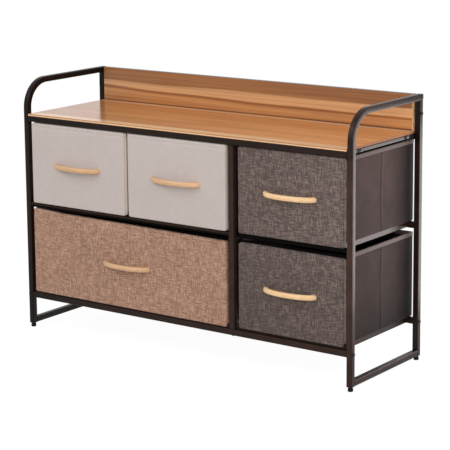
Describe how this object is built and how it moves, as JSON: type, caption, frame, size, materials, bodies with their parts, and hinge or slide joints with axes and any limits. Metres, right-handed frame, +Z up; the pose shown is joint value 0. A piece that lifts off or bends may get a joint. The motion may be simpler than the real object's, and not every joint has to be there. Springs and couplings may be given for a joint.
{
  "type": "fabric drawer dresser",
  "caption": "Low dresser with a dark square-tube frame with bent arms, a wooden top with an upright back board, and fabric drawers with bow handles.",
  "frame": {"origin": "on the floor under the middle of the chest, handles included", "axes": "+X to the viewer's right along the width, +Y to the back, +Z up"},
  "size_m": [1.005, 0.347, 0.66],
  "materials": {
    "frame_steel": "dark brown powder coat, satin",
    "wood_board": "warm wood laminate with long dark streaks, semi-gloss",
    "handle_wood": "light solid wood, satin lacquer",
    "pale_linen": "pale grey-beige linen weave",
    "tan_linen": "tan linen weave with slubs",
    "dark_linen": "dark grey-brown linen weave with pale slubs",
    "bin_fabric": "dark brown non-woven fabric",
    "fibreboard": "plain fibreboard",
    "foot_plastic": "black plastic foot",
    "bolt_steel": "blackened bolt head"
  },
  "bodies": {
    "frame": {"left_front_post": "frame_steel", "left_rear_post": "frame_steel", "left_sled_rail": "frame_steel", "left_upper_rail": "frame_steel", "right_front_post": "frame_steel", "right_rear_post": "frame_steel", "right_sled_rail": "frame_steel", "right_upper_rail": "frame_steel", "front_bottom_rail": "frame_steel", "rear_bottom_rail": "frame_steel", "front_top_rail": "frame_steel", "rear_top_rail": "frame_steel", "front_centre_post": "frame_steel", "rear_centre_post": "frame_steel", "front_middle_rail_left": "frame_steel", "front_middle_rail_right": "frame_steel", "rear_middle_rail_left": "frame_steel", "rear_middle_rail_right": "frame_steel", "lower_runner_left": "frame_steel", "lower_runner_centre_left": "frame_steel", "lower_runner_centre_right": "frame_steel", "lower_runner_right": "frame_steel", "middle_runner_left": "frame_steel", "middle_runner_split": "frame_steel", "middle_runner_centre_left": "frame_steel", "middle_runner_centre_right": "frame_steel", "middle_runner_right": "frame_steel", "table_top": "wood_board", "back_board": "wood_board", "left_front_foot": "foot_plastic", "left_rear_foot": "foot_plastic", "right_front_foot": "foot_plastic", "right_rear_foot": "foot_plastic", "left_front_bolt": "bolt_steel", "left_rear_bolt": "bolt_steel", "left_upper_bolt": "bolt_steel", "right_front_bolt": "bolt_steel", "right_rear_bolt": "bolt_steel", "right_upper_bolt": "bolt_steel", "front_centre_bolt": "bolt_steel"},
    "small_left_drawer": {"small_left_drawer_front": "pale_linen", "small_left_drawer_bin": "bin_fabric", "small_left_drawer_bottom_board": "fibreboard", "small_left_drawer_handle": "handle_wood"},
    "small_right_drawer": {"small_right_drawer_front": "pale_linen", "small_right_drawer_bin": "bin_fabric", "small_right_drawer_bottom_board": "fibreboard", "small_right_drawer_handle": "handle_wood"},
    "wide_drawer": {"wide_drawer_front": "tan_linen", "wide_drawer_bin": "bin_fabric", "wide_drawer_bottom_board": "fibreboard", "wide_drawer_handle": "handle_wood"},
    "dark_upper_drawer": {"dark_upper_drawer_front": "dark_linen", "dark_upper_drawer_bin": "bin_fabric", "dark_upper_drawer_bottom_board": "fibreboard", "dark_upper_drawer_handle": "handle_wood"},
    "dark_lower_drawer": {"dark_lower_drawer_front": "dark_linen", "dark_lower_drawer_bin": "bin_fabric", "dark_lower_drawer_bottom_board": "fibreboard", "dark_lower_drawer_handle": "handle_wood"}
  },
  "joints": [
    {"name": "small_left_drawer_slide", "type": "slide", "parent": "frame", "child": "small_left_drawer", "axis": [0, -1, 0], "range_m": [0, 0.22]},
    {"name": "small_right_drawer_slide", "type": "slide", "parent": "frame", "child": "small_right_drawer", "axis": [0, -1, 0], "range_m": [0, 0.22]},
    {"name": "wide_drawer_slide", "type": "slide", "parent": "frame", "child": "wide_drawer", "axis": [0, -1, 0], "range_m": [0, 0.22]},
    {"name": "dark_upper_drawer_slide", "type": "slide", "parent": "frame", "child": "dark_upper_drawer", "axis": [0, -1, 0], "range_m": [0, 0.22]},
    {"name": "dark_lower_drawer_slide", "type": "slide", "parent": "frame", "child": "dark_lower_drawer", "axis": [0, -1, 0], "range_m": [0, 0.22]}
  ]
}
